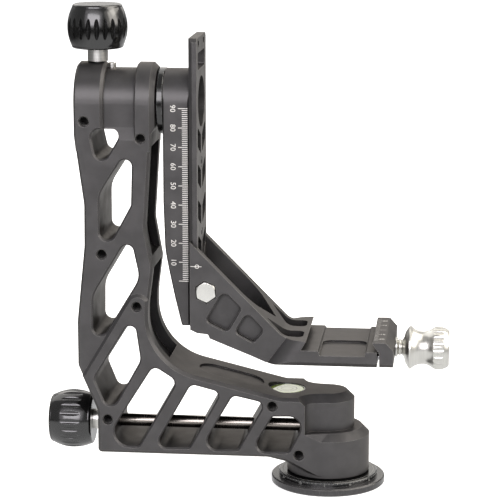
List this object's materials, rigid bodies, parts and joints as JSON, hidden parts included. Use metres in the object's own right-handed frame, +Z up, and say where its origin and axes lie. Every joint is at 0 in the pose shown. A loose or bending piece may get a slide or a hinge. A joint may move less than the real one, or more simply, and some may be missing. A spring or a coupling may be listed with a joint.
{
  "type": "gimbal tripod head",
  "caption": "Gimbal head for a long lens: a trussed yoke on a panning base, a swinging arm with a height-adjustable cradle, and a dovetail clamp.",
  "frame": {"origin": "centre of the base plate's underside, on the pan axis, at the mouth of the tripod thread", "axes": "+Z up along the pan axis; +X from the upright towards the lens clamp, along the tilt axis; +Y towards the back"},
  "size_m": [0.2113, 0.0674, 0.2517],
  "materials": {
    "dark_anodised": "dark grey hard-anodised machined aluminium, satin",
    "gloss_black_metal": "glossy black anodised turned aluminium",
    "black_knob": "glossy black moulded grip",
    "stainless": "polished stainless steel",
    "bearing_steel": "ground steel",
    "black_screw": "black oxide steel",
    "brass": "turned brass",
    "bezel_metal": "satin aluminium",
    "level_fluid": "yellow-green level vial",
    "level_air": "air bubble"
  },
  "bodies": {
    "pan_base": {"base_plate": "dark_anodised", "base_screws": "black_screw", "pan_spindle": "bearing_steel", "degree_ring": "gloss_black_metal", "pan_shim": "bearing_steel", "pan_collar": "bearing_steel", "collar_screw": "black_screw"},
    "yoke": {"yoke_frame": "dark_anodised", "pan_bearings": "bearing_steel", "pan_spacer": "bearing_steel", "pan_clip": "bearing_steel", "pan_brake_shoe": "brass", "tilt_bearings": "bearing_steel", "tilt_spacer": "bearing_steel", "tilt_brake_shoe": "brass", "top_screw": "stainless", "bubble_bezel": "bezel_metal", "bubble_vial": "level_fluid", "bubble_air": "level_air"},
    "tilt_lock_knob": {"tilt_knob_grip": "black_knob", "tilt_knob_sleeve": "stainless", "tilt_lock_stud": "bearing_steel"},
    "pan_lock_knob": {"pan_knob_grip": "black_knob", "pan_knob_sleeve": "stainless", "pan_lock_rod": "stainless"},
    "swing_arm": {"swing_arm": "dark_anodised", "bearing_ring": "gloss_black_metal", "tilt_axle": "bearing_steel", "hub_washer": "stainless", "hub_bolt": "stainless", "slide_rail": "dark_anodised", "rail_screws": "black_screw"},
    "cradle": {"cradle_body": "dark_anodised", "cradle_gib": "brass", "guide_pins": "bearing_steel", "height_bolt": "stainless", "height_washer": "stainless"},
    "height_lock_knob": {"height_knob_grip": "black_knob", "height_knob_insert": "brass"},
    "clamp_jaw": {"clamp_jaw": "dark_anodised"},
    "clamp_knob": {"clamp_washer": "stainless", "clamp_screw": "stainless", "clamp_knob_grip": "stainless"}
  },
  "joints": [
    {"name": "pan", "type": "hinge", "parent": "pan_base", "child": "yoke", "pos_m": [0, 0, 0], "axis": [0, 0, 1], "continuous": true},
    {"name": "tilt_lock", "type": "hinge", "parent": "yoke", "child": "tilt_lock_knob", "pos_m": [-0.1208, 0, 0.229], "axis": [0, 0, 1], "range_deg": [-45, 360]},
    {"name": "pan_lock", "type": "hinge", "parent": "yoke", "child": "pan_lock_knob", "pos_m": [-0.1256, 0, 0.03], "axis": [1, 0, 0], "range_deg": [-45, 360]},
    {"name": "tilt", "type": "hinge", "parent": "yoke", "child": "swing_arm", "pos_m": [-0.086, 0, 0.202], "axis": [1, 0, 0], "continuous": true},
    {"name": "height", "type": "slide", "parent": "swing_arm", "child": "cradle", "axis": [0, 0, 1], "range_m": [-0.009, 0.081]},
    {"name": "height_lock", "type": "hinge", "parent": "cradle", "child": "height_lock_knob", "pos_m": [-0.0624, 0.0234, 0.1057], "axis": [0, 1, 0], "range_deg": [-45, 360]},
    {"name": "jaw_slide", "type": "slide", "parent": "cradle", "child": "clamp_jaw", "axis": [1, 0, 0], "range_m": [-0.001, 0.003]},
    {"name": "clamp_turn", "type": "hinge", "parent": "clamp_jaw", "child": "clamp_knob", "pos_m": [0.0361, 0, 0.0737], "axis": [1, 0, 0], "range_deg": [-360, 1080]}
  ],
  "couplings": [
    {"joint": "clamp_turn", "follows": "jaw_slide", "rad_per_m": 6283.2}
  ]
}
